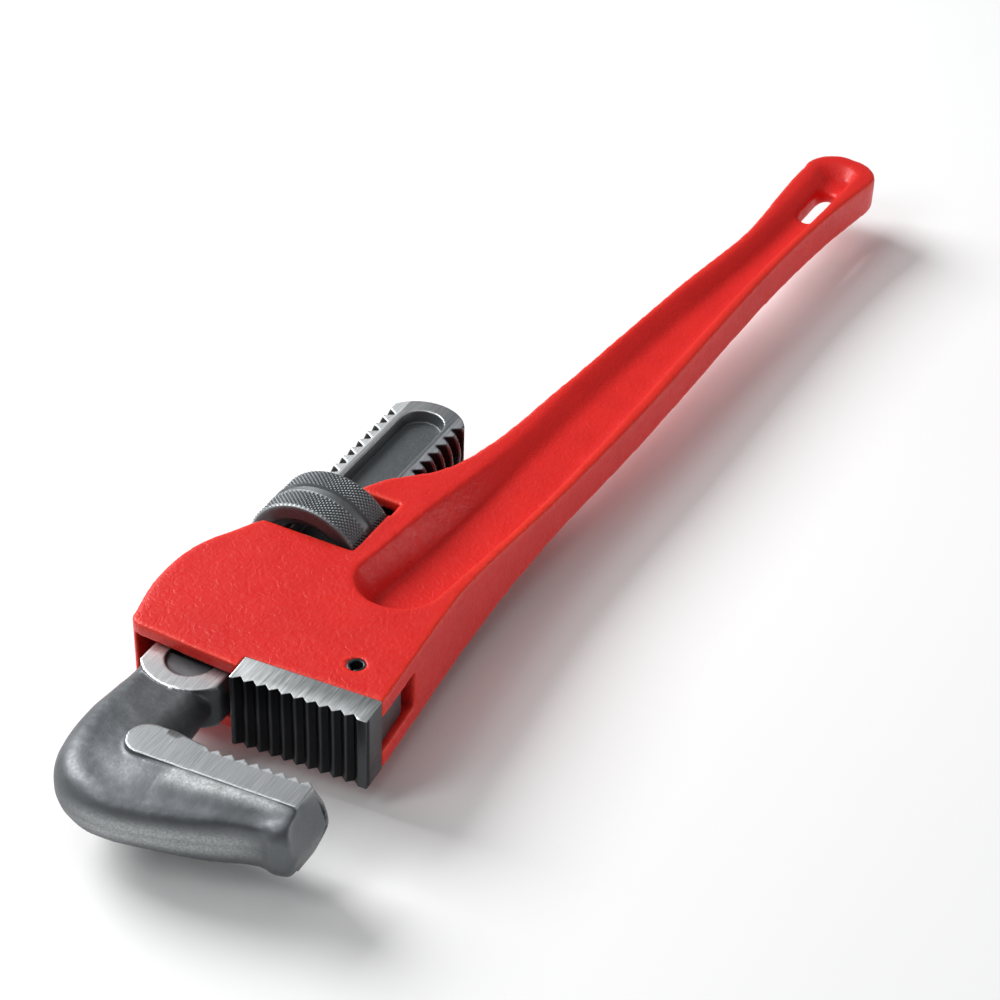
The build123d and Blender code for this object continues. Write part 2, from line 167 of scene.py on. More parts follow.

# %% [markdown]
# ## Red enamel on a sand casting
#
# The handle is ductile iron, cast in sand and dipped in red enamel. The sand leaves a fine skin
# about a millimetre across, the enamel dries over it in soft wrinkles 3 mm across, and its colour
# clouds over 16 mm or so. Highlights come out broad and a little broken. Convex edges are painted
# a lighter orange, for enamel drawn thin and as a painted highlight, and hollows a deeper red, as
# painted shade. The mesh stores how convex it is at each point, and the material reads that as an
# attribute.

# %% Red enamel
enamel, tree = new_material("red_enamel_on_cast_iron")
place = add(tree, "ShaderNodeTexCoord").node.outputs["Object"]
sand = add(
    tree, "ShaderNodeTexNoise", {"Vector": place, "Scale": pattern(1.1), "Detail": 3.0, "Roughness": 0.55}
)
wrinkle = add(
    tree, "ShaderNodeTexNoise", {"Vector": place, "Scale": pattern(3.0), "Detail": 2.0, "Distortion": 1.6}
)
lumps = add(tree, "ShaderNodeTexNoise", {"Vector": place, "Scale": pattern(16), "Detail": 2.0})
thin = add(tree, "ShaderNodeAttribute", attribute_name="edge").node.outputs["Fac"]
painted_hollow_shade = add(tree, "ShaderNodeAttribute", attribute_name="hollow").node.outputs["Fac"]
cloudy = ramp(tree, lumps, 0.35, 0.7, high=0.45)
body = tinted(tree, cloudy, ENAMEL_RED, "#c91c1b")
# Painted highlight, with thin enamel: convex edges turn a lighter orange.
body = tinted(tree, thin, body, "#ee3a24")
# Painted shade: hollows turn a deeper red.
body = tinted(tree, painted_hollow_shade, body, "#8c0d14")
gloss = ramp(tree, wrinkle, 0.3, 0.7, 0.34, 0.46)
relief = add(tree, "ShaderNodeBump", {"Strength": 0.45, "Distance": mm(0.5), "Height": wrinkle})
relief = add(tree, "ShaderNodeBump", {"Strength": 0.4, "Distance": mm(0.2), "Height": sand, "Normal": relief})
shader = add(
    tree,
    "ShaderNodeBsdfPrincipled",
    {"Base Color": body, "Roughness": gloss, "Specular IOR Level": 0.32, "Normal": relief},
)
add(tree, "ShaderNodeOutputMaterial", {"Surface": shader})
print("made", enamel.name)

# %% [markdown]
# ## Forged steel, with its ground faces
#
# The hook jaw is one forging, but it doesn't look like one metal. Its skin is tumbled and oiled
# dark grey, painted lighter on the crown of the bend and beside the pad, for rubbed polish and
# as a painted highlight. The broad faces of the shank and the ledge beside the teeth are ground
# bright, with lines that run along the shank, and the shank's ground faces are painted lighter
# towards +y, the side that faces the key light, as painted light, and lighter too on the ring.
# Thread flanks and tooth flanks keep a black quench oxide. All of these are places on the piece,
# so the material finds them from Object coordinates, turned into millimetres from the nut by one
# Mapping node.
#
# First come the places themselves. Each mask below is 1 inside its place and 0 outside it.

# %% Where the teeth, the ledge and the shank's faces stand
JAW_TILT = math.radians(3)  # both rows of teeth lean away from square
BACK = Vector((math.cos(JAW_TILT), math.sin(JAW_TILT), 0))  # square to a row, towards the tail
HOOK_ROW = Vector((-98.7, -28.6, 0))  # a point on the hook jaw's tip line
HEEL_ROW = Vector((-71.4, -17.6, 0))  # a point on the heel jaw's tip line
TOOTH_DEPTH = 1.8
LEDGE_HALF = 12.1  # half thickness at the ground ledge beside the teeth
STRIP_HALF, STRIP_TOP, STRIP_FRONT_X = 7.25, 8.0, -79.2  # ground strips of the shank
POCKET_HALF_W, POCKET_FRONT_X = 8.6, -74.0  # long pocket between the strips
CREST_R, THREAD_FRONT_X, THREAD_SIDE = 15.05, -34.0, 9.5  # thread crest, and where it shows
print("tooth row to tooth row, mm:", round((HEEL_ROW - HOOK_ROW).dot(BACK), 1))

# %% Forged steel: the places that differ
forged, tree = new_material("forged_steel_part_ground")
place = add(tree, "ShaderNodeTexCoord").node.outputs["Object"]
local = add(
    tree, "ShaderNodeMapping", {"Vector": place, "Location": SHANK_ORIGIN * -1000, "Scale": (1000, 1000, 1000)}
)
split = add(tree, "ShaderNodeSeparateXYZ", {"Vector": local}).node.outputs
out = maths(tree, "ABSOLUTE", split["Z"])
aside = maths(tree, "ABSOLUTE", split["Y"])
ledge = ramp(tree, out, LEDGE_HALF, LEDGE_HALF + 0.15)
past_ring = maths(tree, "GREATER_THAN", split["X"], STRIP_FRONT_X)
strip = ramp(tree, out, STRIP_HALF, STRIP_HALF + 0.15)
below = maths(tree, "LESS_THAN", out, STRIP_TOP)
strip = maths(tree, "MULTIPLY", strip, below)
strip = maths(tree, "MULTIPLY", strip, past_ring)
ground = maths(tree, "MAXIMUM", ledge, strip)
in_pocket = maths(tree, "LESS_THAN", aside, POCKET_HALF_W)
behind_ring = maths(tree, "GREATER_THAN", split["X"], POCKET_FRONT_X)
pocket = maths(tree, "MULTIPLY", in_pocket, behind_ring)
radius = add(tree, "ShaderNodeVectorMath", {0: local, 1: (0, 1, 1)}, operation="MULTIPLY")
radius = add(tree, "ShaderNodeVectorMath", {0: radius}, operation="LENGTH")
sunk = ramp(tree, radius, CREST_R, CREST_R - 0.35)
threaded = maths(tree, "GREATER_THAN", split["X"], THREAD_FRONT_X)
flank = maths(tree, "MULTIPLY", sunk, threaded)
outside = maths(tree, "GREATER_THAN", aside, THREAD_SIDE)
flank = maths(tree, "MULTIPLY", flank, outside)
row = add(tree, "ShaderNodeVectorMath", {0: local, 1: HOOK_ROW}, operation="SUBTRACT")
depth = add(tree, "ShaderNodeVectorMath", {0: row, 1: BACK}, operation="DOT_PRODUCT").node.outputs["Value"]
tooth = ramp(tree, depth, -TOOTH_DEPTH - 0.3, -TOOTH_DEPTH)
mouth_side = maths(tree, "LESS_THAN", split["Y"], HOOK_ROW.y + 1.1)
tooth = maths(tree, "MULTIPLY", tooth, mouth_side)
tip = ramp(tree, depth, -0.55, -0.1)
print("masks made in", forged.name)

# %% [markdown]
# The colours are laid on from the deepest to the topmost: the oiled skin and its mottle, the
# speckled polish that hands and pipes leave, which also stands in as a painted highlight, the
# pocket, the oxide, the rubbed edges, and last the ground faces, with painted light towards +y.
# Grinding lines are a noise stretched 9 mm along the shank and 0.4 mm across.

# %% Forged steel: its colours and its skin
scale_grain = add(
    tree, "ShaderNodeTexNoise", {"Vector": place, "Scale": pattern(0.9), "Detail": 4.0, "Roughness": 0.6}
)
blotch = add(
    tree, "ShaderNodeTexNoise", {"Vector": place, "Scale": pattern(26), "Detail": 3.0, "Distortion": 0.6}
)
speck = add(tree, "ShaderNodeTexNoise", {"Vector": place, "Scale": pattern(0.8), "Detail": 2.0})
lines = add(
    tree, "ShaderNodeMapping", {"Vector": place, "Scale": (pattern(9.0), pattern(0.42), pattern(0.42))}
)
lines = add(tree, "ShaderNodeTexNoise", {"Vector": lines, "Scale": 1.0, "Detail": 3.0, "Roughness": 0.6})
worn = add(tree, "ShaderNodeAttribute", attribute_name="edge").node.outputs["Fac"]
covered = ramp(tree, threaded, low=1.0, high=0.25)
worn = maths(tree, "MULTIPLY", worn, covered)
polish_and_sheen = add(tree, "ShaderNodeAttribute", attribute_name="polish_and_sheen").node.outputs["Fac"]
mottle = ramp(tree, blotch, 0.38, 0.66)
skin = tinted(tree, mottle, "#5c5f62", "#6b6e71")
# Speckled polish, also a painted highlight, on the crown of the bend and beside the pad.
grainy = ramp(tree, speck, 0.35, 0.65, 0.55)
grainy = maths(tree, "MULTIPLY", grainy, polish_and_sheen)
skin = tinted(tree, grainy, skin, "#aeb1b2")
skin = tinted(tree, pocket, skin, "#6c7073")
oxide = maths(tree, "MAXIMUM", flank, tooth)
skin = tinted(tree, oxide, skin, "#1d1f21")
rubbed = maths(tree, "MULTIPLY", tip, tooth)
rubbed = maths(tree, "MULTIPLY", rubbed, 0.6)
rubbed = maths(tree, "MAXIMUM", rubbed, worn)
skin = tinted(tree, rubbed, skin, "#a6a9ab")
# Painted light: the ground faces are lighter towards +y, the side facing the key light, and on the ring.
painted_lit_side_and_ring = ramp(tree, split["Y"], -9.0, 9.0)
on_ring = ramp(tree, split["X"], -62.0, -70.0, high=0.9)
painted_lit_side_and_ring = maths(tree, "MAXIMUM", painted_lit_side_and_ring, on_ring)
painted_lit_side_and_ring = add(tree, "ShaderNodeMix", {0: ledge, 2: painted_lit_side_and_ring, 3: 0.45})
# Each grinding tone as a shaded and a lit copy, mixed by that painted light.
dark_ground = tinted(tree, painted_lit_side_and_ring, "#7f8285", "#b4b7b9")
light_ground = tinted(tree, painted_lit_side_and_ring, "#a3a6aa", "#dcdedf")
bright = ramp(tree, lines, 0.3, 0.7)
bright = tinted(tree, bright, dark_ground, light_ground)
skin = tinted(tree, ground, skin, bright)
dull = ramp(tree, scale_grain, 0.3, 0.7, 0.42, 0.56)
dull = add(tree, "ShaderNodeMix", {0: ground, 2: dull, 3: 0.36})
dull = add(tree, "ShaderNodeMix", {0: oxide, 2: dull, 3: 0.6})
grit = add(tree, "ShaderNodeMix", {0: ground, 2: scale_grain, 3: lines})
relief = add(tree, "ShaderNodeBump", {"Strength": 0.4, "Distance": mm(0.12), "Height": grit})
shader = add(
    tree,
    "ShaderNodeBsdfPrincipled",
    {"Base Color": skin, "Metallic": 0.85, "Roughness": dull, "Normal": relief},
)
add(tree, "ShaderNodeOutputMaterial", {"Surface": shader})
print("made", forged.name)

# %% [markdown]
# ## Ground tool steel, for the heel jaw
#
# The heel jaw is a hardened block. Its broad faces are ground with lines that run square to the
# row of teeth, its tooth flanks stay black, and its ends are left as sawn, a middle grey.

# %% Ground tool steel
HEEL_HALF = 13.1  # half thickness of the heel jaw
tool_steel, tree = new_material("ground_tool_steel")
place = add(tree, "ShaderNodeTexCoord").node.outputs["Object"]
local = add(
    tree, "ShaderNodeMapping", {"Vector": place, "Location": SHANK_ORIGIN * -1000, "Scale": (1000, 1000, 1000)}
)
out = add(tree, "ShaderNodeSeparateXYZ", {"Vector": local}).node.outputs["Z"]
out = maths(tree, "ABSOLUTE", out)
face = ramp(tree, out, HEEL_HALF - 0.22, HEEL_HALF - 0.1)
row = add(tree, "ShaderNodeVectorMath", {0: local, 1: HEEL_ROW}, operation="SUBTRACT")
depth = add(tree, "ShaderNodeVectorMath", {0: row, 1: BACK}, operation="DOT_PRODUCT").node.outputs["Value"]
tooth = ramp(tree, depth, TOOTH_DEPTH + 0.4, TOOTH_DEPTH + 0.1)
tip = ramp(tree, depth, 0.5, 0.0, high=0.5)
lines = add(tree, "ShaderNodeMapping", {"Vector": place, "Scale": (pattern(10), pattern(0.5), pattern(0.5))})
lines = add(tree, "ShaderNodeTexNoise", {"Vector": lines, "Scale": 1.0, "Detail": 3.0, "Roughness": 0.6})
cloud = add(tree, "ShaderNodeTexNoise", {"Vector": place, "Scale": pattern(6), "Detail": 3.0})
sawn = tinted(tree, cloud, "#4a4d50", "#6b6e71")
steel = tinted(tree, tooth, sawn, "#18191b")
steel = tinted(tree, tip, steel, "#6d7073")
bright = ramp(tree, lines, 0.3, 0.7)
bright = tinted(tree, bright, "#8f9294", "#bfc2c3")
steel = tinted(tree, face, steel, bright)
dull = ramp(tree, lines, 0.3, 0.7, 0.34, 0.48)
relief = add(tree, "ShaderNodeBump", {"Strength": 0.35, "Distance": mm(0.08), "Height": lines})
shader = add(
    tree,
    "ShaderNodeBsdfPrincipled",
    {"Base Color": steel, "Metallic": 0.9, "Roughness": dull, "Normal": relief},
)
add(tree, "ShaderNodeOutputMaterial", {"Surface": shader})
print("made", tool_steel.name)

# %% [markdown]
# ## Black oxide, for the nut
#
# The nut is turned, knurled and blackened in a salt bath. Hands rub the points of the knurl and
# the rims back to grey steel, and oil and dirt keep the grooves black. The nut's tree stores how
# high each point of the knurl stands, and the material reads it.

# %% Black oxide
oxide_black, tree = new_material("black_oxide_steel")
place = add(tree, "ShaderNodeTexCoord").node.outputs["Object"]
height = add(tree, "ShaderNodeAttribute", attribute_name="rubbed").node.outputs["Fac"]
patchy = add(tree, "ShaderNodeTexNoise", {"Vector": place, "Scale": pattern(5), "Detail": 4.0})
fine = add(tree, "ShaderNodeTexNoise", {"Vector": place, "Scale": pattern(0.5), "Detail": 2.0})
patchy = ramp(tree, patchy, 0.3, 0.7, 0.55)
wear = maths(tree, "MULTIPLY", height, patchy)
steel = tinted(tree, fine, "#484b4e", "#64686b")
steel = tinted(tree, wear, steel, "#b4b8ba")
dull = ramp(tree, wear, low=0.55, high=0.36)
relief = add(tree, "ShaderNodeBump", {"Strength": 0.25, "Distance": mm(0.06), "Height": fine})
shader = add(
    tree,
    "ShaderNodeBsdfPrincipled",
    {"Base Color": steel, "Metallic": 0.85, "Roughness": dull, "Normal": relief},
)
add(tree, "ShaderNodeOutputMaterial", {"Surface": shader})
print("made", oxide_black.name)

# %% [markdown]
# ## Spring steel, for the pin and the springs
#
# Strip and wire hardened in oil come out dark straw to blue-grey, with fine drawn lines and a
# little brown bloom. One recipe with two tints serves the pin and the springs.

# %% Spring steel
def spring_steel(name, dark, light):
    """Oil-hardened spring steel between two tints."""
    material, tree = new_material(name)
    place = add(tree, "ShaderNodeTexCoord").node.outputs["Object"]
    bloom = add(tree, "ShaderNodeTexNoise", {"Vector": place, "Scale": pattern(2.5), "Detail": 4.0})
    bloom = ramp(tree, bloom, 0.35, 0.65)
    tint = tinted(tree, bloom, dark, light)
    fine = add(tree, "ShaderNodeTexNoise", {"Vector": place, "Scale": pattern(0.4), "Detail": 2.0})
    dull = ramp(tree, fine, low=0.3, high=0.5)
    relief = add(tree, "ShaderNodeBump", {"Strength": 0.2, "Distance": mm(0.04), "Height": fine})
    shader = add(
        tree,
        "ShaderNodeBsdfPrincipled",
        {"Base Color": tint, "Metallic": 0.95, "Roughness": dull, "Normal": relief},
    )
    add(tree, "ShaderNodeOutputMaterial", {"Surface": shader})
    print("made", name)
    return material


pin_steel = spring_steel("oiled_pin_steel", "#34373a", "#5a5d60")
spring_blue = spring_steel("tempered_spring_steel", "#4a4743", "#6f6d6b")

# %% [markdown]
# ## From a CAD node to a workable mesh
#
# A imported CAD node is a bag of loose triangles: fine for a frame, useless for rounding an edge.
# So each piece starts from a copy, and merging the doubles makes that a closed surface.

# %% Copy a node, and turn a modifier stack into a mesh
def merged_copy(node, name):
    """A closed copy of a CAD node's surface, as a new object at the origin."""
    work = bmesh.new()
    work.from_mesh(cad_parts[node].data)
    bmesh.ops.remove_doubles(work, verts=work.verts, dist=mm(0.003))
    work.verts.ensure_lookup_table()
    work.verts.index_update()
    points = [vertex.co.copy() for vertex in work.verts]
    faces = [[vertex.index for vertex in face.verts] for face in work.faces]
    work.free()
    mesh = bpy.data.meshes.new(name)
    mesh.from_pydata(points, [], faces)
    piece = bpy.data.objects.new(name, mesh)
    bpy.context.scene.collection.objects.link(piece)
    return piece


def settle(piece):
    """Replaces a piece's mesh by what its modifiers make of it, and removes them."""
    evaluated = piece.evaluated_get(bpy.context.evaluated_depsgraph_get())
    mesh = bpy.data.meshes.new_from_object(evaluated)
    mesh.name = piece.name
    piece.modifiers.clear()
    piece.data = mesh
    return piece


def hand_over(piece, body, slot, *nodes):
    """Lets a finished piece ride on its body, in place of the CAD nodes."""
    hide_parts(*nodes)
    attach(piece, body)
    piece.data.calc_loop_triangles()
    print(piece.name, "on", body, "for", nodes, "with", len(piece.data.loop_triangles), "triangles")


print("helpers ready")

# %% [markdown]
# ## Rounding a casting or a forging
#
# A mould can't hold a sharp corner, and a forging die fills its corners round. A bevel modifier
# rounds edge by edge and fails where three drafted walls meet. A remesh into even cells followed
# by relaxing rounds everything at once, like the pour does: each point moves towards the average
# of its neighbours, and the number of rounds sets the radius. A weight for each point keeps
# machined places crisp. Decimate then spends triangles only where the surface bends.

# %% Remesh, relax, decimate
def read_points(mesh):
    """The mesh's vertex positions as an array."""
    points = np.empty(len(mesh.vertices) * 3)
    mesh.vertices.foreach_get("co", points)
    return points.reshape(-1, 3)


def neighbour_average(mesh):
    """A function that averages any per-vertex array over each vertex's neighbours."""
    edges = np.empty(len(mesh.edges) * 2, int)
    mesh.edges.foreach_get("vertices", edges)
    ends = np.concatenate([edges.reshape(-1, 2), edges.reshape(-1, 2)[:, ::-1]])
    count = len(mesh.vertices)
    degree = np.maximum(np.bincount(ends[:, 0], minlength=count), 1)

    def average(values):
        columns = [np.bincount(ends[:, 0], column[ends[:, 1]], count) for column in values.T]
        return np.stack(columns, 1) / degree[:, None]

    return average


def relax(mesh, weight, rounds):
    """Moves each vertex towards its neighbours' average, by its own weight, round after round."""
    points, average = read_points(mesh), neighbour_average(mesh)
    for _ in range(rounds):
        points += 0.5 * weight[:, None] * (average(points) - points)
    mesh.vertices.foreach_set("co", points.ravel())
    mesh.update()


def even_cells(piece, depth):
    """Rebuilds a closed surface from even cells that keep its sharp edges."""
    remesh = piece.modifiers.new("cells", "REMESH")
    remesh.mode = "SHARP"
    remesh.octree_depth = depth
    remesh.scale = 0.95
    remesh.use_remove_disconnected = False
    return settle(piece)


def thin_out(piece, triangles):
    """Decimates a piece to about that many triangles."""
    piece.data.calc_loop_triangles()
    have = len(piece.data.loop_triangles)
    if have > triangles:
        decimate = piece.modifiers.new("thin", "DECIMATE")
        decimate.ratio = triangles / have
        decimate.use_collapse_triangulate = True
        settle(piece)


TRIANGLES = 190_000  # each big piece's budget
print("budget for a big piece:", TRIANGLES, "triangles")

# %% [markdown]
# ## Small unevenness, and how convex a point is
#
# Cast and forged skins are never dead flat. A little noise along each normal, a tenth of a
# millimetre over several millimetres, is what makes a highlight wander. Then each vertex is
# compared with a relaxed copy of itself: where it stands proud, steel gets rubbed and the enamel
# is painted lighter, for thin paint and as a painted highlight; where it sits deep, the enamel is
# painted darker, as painted shade. Both are stored on the mesh as attributes.

# %% Roughen a surface, and store its edges and hollows
def roughen(mesh, sizes_and_heights, share):
    """Pushes vertices along their normals by smooth noise, times a share for each vertex."""
    points, normals = read_points(mesh), np.empty(len(mesh.vertices) * 3)
    mesh.vertices.foreach_get("normal", normals)
    push = np.zeros(len(points))
    for size, height in sizes_and_heights:
        push += height * np.array([noise.noise(Vector(point) * pattern(size)) for point in points])
    points += normals.reshape(-1, 3) * (mm(1) * push * share)[:, None]
    mesh.vertices.foreach_set("co", points.ravel())
    mesh.update()


def store(mesh, name, values):
    """Stores one number for each vertex."""
    attribute = mesh.attributes.new(name, "FLOAT", "POINT")
    attribute.data.foreach_set("value", np.clip(values, 0, 1).astype(np.float32))


def store_edges(mesh, full_mm, rounds=6):
    """Stores edge and hollow: how far a vertex stands out of, or in from, its relaxed self."""
    points, average = read_points(mesh), neighbour_average(mesh)
    normals = np.empty(len(points) * 3)
    mesh.vertices.foreach_get("normal", normals)
    relaxed = points
    for _ in range(rounds):
        relaxed = average(relaxed)
    proud = ((points - relaxed) * normals.reshape(-1, 3)).sum(1) * 1000
    proud = average(average(proud[:, None]))[:, 0]
    store(mesh, "edge", proud / full_mm - 0.25)
    store(mesh, "hollow", -proud / full_mm - 0.25)


def smoothstep(values, start, end):
    """0 at start, 1 at end, and smooth between."""
    t = np.clip((values - start) / (end - start), 0, 1)
    return t * t * (3 - 2 * t)


print("surface helpers ready")

# %% [markdown]
# ## The handle casting
#
# Head, beak and grip are one casting. The grip's flanges are rounded most, because a hand holds
# them. The head is rounded less, and the mouth, the nut's window and the pin's bore are machined
# or cored, so they stay nearly crisp.

# %% The handle casting: cells and rounding
PIN_X, PIN_Y = -48.4, -47.2
WINDOW_FRONT, WINDOW_REAR = -1.7, 27.2
FINE_CELLS = 9  # halvings of the longest side
CAST_ROUNDS = 40

handle = even_cells(merged_copy("handle", "handle_casting"), FINE_CELLS)
x, y, _ = measured(read_points(handle.data)).T
softness = 0.2 + 0.35 * smoothstep(x, 40, 110)  # softer along the grip
softness += 0.4 * smoothstep(y, 2, 12) * (1 - smoothstep(x, -12, -5))  # and on the head's back
softness *= 0.15 + 0.85 * smoothstep(x, -63.5, -57)  # crisp at the machined mouth
near_window = np.minimum(np.abs(x - WINDOW_FRONT), np.abs(x - WINDOW_REAR))
in_notch = smoothstep(y, -27, -21)
softness *= 1 - 0.5 * in_notch * (1 - smoothstep(near_window, 2, 5))
softness *= smoothstep(np.hypot(x - PIN_X, y - PIN_Y), 3.4, 5.5)
relax(handle.data, softness, CAST_ROUNDS)
print("casting vertices:", len(handle.data.vertices))

# %% [markdown]
# Its skin gets two sizes of unevenness: swells of 11 mm, and pits of 3.6 mm. The mouth's face is
# machined, so it keeps only a fifth of them.

# %% The handle casting: skin, budget and finish
thin_out(handle, TRIANGLES)
machined = 1 - smoothstep(measured(read_points(handle.data))[:, 0], -64.5, -61)
roughen(handle.data, [(11, 0.12), (3.6, 0.03)], 1 - 0.8 * machined)
store_edges(handle.data, 0.5)
handle.data.shade_smooth()
handle.data.materials.append(enamel)
hand_over(handle, "handle", "red_enamel", "handle")

# %% [markdown]
# ## The hook jaw
#
# One forging carries the hook, the ledge of teeth and the threaded shank. It is shorter than the
# handle, so its cells come out finer, which suits a thread flank only 2 mm long. The forged hook
# is relaxed most, and the teeth, the ledge and the thread only enough to break their corners.
#
# A place on the hook is told by three numbers: how deep it lies behind the row of teeth, what
# share of the way it is from the ground pad to the outer side, and how far round the bend, from
# 0 degrees at the neck to 90 where the straight jaw starts.

# %% The hook jaw: how a place on the hook is told
THROAT = (-92.0, -22.0)  # middle of the bend
PAD_BACK, PAD_BEND_R = -10.8, 17.5  # edge of the ground pad, along the jaw and round the bend
BEND_DEGREES, BEND_R = (0, 22, 45, 68, 90), (37.8, 39.7, 43.2, 40.7, 35.9)  # outer side of the bend
OUTER_Y = (-68.4, -56.8, -46.0, -33.0, -22.0)  # outer side of the straight jaw
OUTER_DEPTH = (-16.8, -19.2, -22.0, -26.3, -28.8)
HEEL_CORNER = (-97.6, -17.5)  # where the heel jaw's corner comes to rest in a shut mouth


def hook_places(points):
    """Depth from the row of teeth, share of the way from the pad to the outer side, and turn."""
    depth = (points - np.array(HOOK_ROW)) @ np.array(BACK)
    from_throat = points[:, :2] - np.array(THROAT)
    throat_r = np.hypot(*from_throat.T)
    turn = np.degrees(np.arctan2(-from_throat[:, 0], from_throat[:, 1]))
    past_bend = points[:, 1] < THROAT[1]
    jaw_to_outer = depth - np.interp(points[:, 1], OUTER_Y, OUTER_DEPTH)
    bend_to_outer = np.interp(turn, BEND_DEGREES, BEND_R) - throat_r
    to_outer = np.where(past_bend, jaw_to_outer, bend_to_outer)
    from_pad = np.where(past_bend, PAD_BACK - depth, throat_r - PAD_BEND_R)
    return depth, from_pad / np.maximum(from_pad + to_outer, 4), turn


def from_heel_corner(x, y):
    """Distance from where the heel jaw's corner comes, which has to stay clear."""
    return np.hypot(x - HEEL_CORNER[0], y - HEEL_CORNER[1])


print("the bend's middle, from the nut in mm:", THROAT)

# %% The hook jaw: cells and rounding
FORGED_ROUNDS = 26

hook = even_cells(merged_copy("hook_jaw", "hook_jaw_forging"), FINE_CELLS)
place_mm = measured(read_points(hook.data))
x, y, z = place_mm.T
row_depth = hook_places(place_mm)[0]
forged_skin = 1 - np.where(np.abs(z) < 6.9, smoothstep(x, -77, -70), smoothstep(x, -82, -78))
on_ledge = smoothstep(np.abs(z), LEDGE_HALF - 0.5, LEDGE_HALF) * (row_depth > PAD_BACK - 0.3)
on_teeth = smoothstep(row_depth, -3.2, -2.2) * (x < -88) * (y < -20)
machined = np.maximum(on_ledge, on_teeth)
softness = 0.05 + 0.95 * forged_skin * (1 - machined)
softness[(x < -85) & (machined > 0.5)] = 0.02
softness *= smoothstep(from_heel_corner(x, y), 2.5, 7)
relax(hook.data, softness, FORGED_ROUNDS)
print("forging vertices:", len(hook.data.vertices))

# %% [markdown]
# Outside the ledge the forging is dished: the die leaves a shallow valley between the pad and the
# crown of the bend, and the crown and the strip beside the pad are painted bright, as rubbed polish
# and as a painted highlight. Both follow the bend, so the places above say where they run. The
# share is stored on the mesh, for polish and painted highlight alike.

# %% The hook jaw: the valley, and the polish and painted highlight beside it
VALLEY = 0.17  # how much thinner the hook is there, as a share

place_mm = measured(read_points(hook.data))
x, y, z = place_mm.T
_, outward, turn = hook_places(place_mm)
along = smoothstep(turn, 30, 80) * (x < -95) * (1 - smoothstep(-y, 50, 65))
dish = VALLEY * np.exp(-(((outward - 0.6) / 0.26) ** 2)) * along * smoothstep(outward, 0.02, 0.3)
points = read_points(hook.data)
points[:, 2] -= mm(1) * z * dish
hook.data.vertices.foreach_set("co", points.ravel())
# Polish and painted highlight: the crown of the bend and a strip beside the pad.
crown = np.exp(-(((np.abs(z) - 1.6) / 2.6) ** 2)) * smoothstep(outward, 0.8, 0.92) * (x < -95)
crown *= smoothstep(turn, 48, 78) * (1 - smoothstep(-y, 46, 62))
beside_pad = np.exp(-(((outward - 0.16) / 0.16) ** 2)) * smoothstep(-y, 20, 28) * (1 - smoothstep(-y, 55, 64))
beside_pad *= smoothstep(np.abs(z), 7, 9) * (x < -95)
store(hook.data, "polish_and_sheen", np.maximum(beside_pad, 0.9 * crown))
print("deepest of the valley, mm:", round(float(np.abs(z * dish).max()), 2))

# %% The hook jaw: budget, skin and finish
thin_out(hook, TRIANGLES)
place_mm = measured(read_points(hook.data))
x, y, z = place_mm.T
row_depth = hook_places(place_mm)[0]
plain = (1 - smoothstep(x, -82, -78)) * (1 - smoothstep(np.abs(z), LEDGE_HALF - 0.3, LEDGE_HALF))
plain *= 1 - smoothstep(row_depth, -3.2, -2.4) * (y < -20)
plain *= smoothstep(from_heel_corner(x, y), 2, 5)
roughen(hook.data, [(7, 0.16), (2.4, 0.05)], plain)
store_edges(hook.data, 0.22, rounds=4)
hook.data.shade_smooth()
hook.data.materials.append(forged)
hand_over(hook, "hook_jaw", "forged_steel", "hook_jaw")

# %% [markdown]
# ## The heel jaw and its pin
#
# Both are machined parts with flat faces, so a bevel suits them: the copy's flat triangles are
# dissolved to whole faces, and a Bevel modifier breaks every real corner by the quarter
# millimetre that a file would.

# %% The heel jaw and the pin
def broken_corners(node, name, width_mm, angle=30):
    """A machined piece: whole flat faces, with a small bevel on each real corner."""
    piece = merged_copy(node, name)
    work = bmesh.new()
    work.from_mesh(piece.data)
    bmesh.ops.dissolve_limit(
        work, angle_limit=math.radians(0.5), verts=work.verts, edges=work.edges, use_dissolve_boundaries=False
    )
    work.to_mesh(piece.data)
    work.free()
    bevel = piece.modifiers.new("corners", "BEVEL")
    bevel.width = mm(width_mm)
    bevel.segments = 2
    bevel.limit_method = "ANGLE"
    bevel.angle_limit = math.radians(angle)
    settle(piece)
    piece.data.shade_smooth()
    piece.data.set_sharp_from_angle(angle=math.radians(angle))
    return piece


heel = broken_corners("heel_jaw", "heel_jaw_block", 0.22)
heel.data.materials.append(tool_steel)
hand_over(heel, "handle", "ground_steel", "heel_jaw")
pin = broken_corners("heel_jaw_pin", "heel_jaw_roll_pin", 0.25, angle=45)
pin.data.materials.append(pin_steel)
hand_over(pin, "handle", "pin_steel", "heel_jaw_pin")

# %% [markdown]
# ## The knurled nut, by rule
#
# A nut is a turned profile with a pattern rolled into it, so its whole surface follows a rule and
# Geometry Nodes can make it. The object's own mesh is only the half profile: a ring of points,
# each a distance along the axis and a radius. The tree lays a grid of profile points by turns,
# bends it round the axis, sinks the diamond knurl where two families of spirals cross, and opens
# the thread in the bore. A knurl is a triangle wave along each spiral: the lower of the two waves
# is a pyramid.

# %% The nut's sizes and its half profile
NUT_R, NUT_LEN = (nut_high.z - nut_low.z) * 500, (nut_high.x - nut_low.x) * 1000
KNURLS_AROUND = 84
KNURL_PITCH = 1.5  # along the axis
KNURL_DEPTH = 0.5
STEPS = 6  # grid steps for each knurl
GROOVE_HALF_W, GROOVE_DEPTH = 1.6, 0.9
RIM = 0.9  # chamfer at each end
BORE_R, THREAD_DEPTH, THREAD_PITCH = 13.25, 2.4, 5.4
COUNTERSINK_R = 16.2


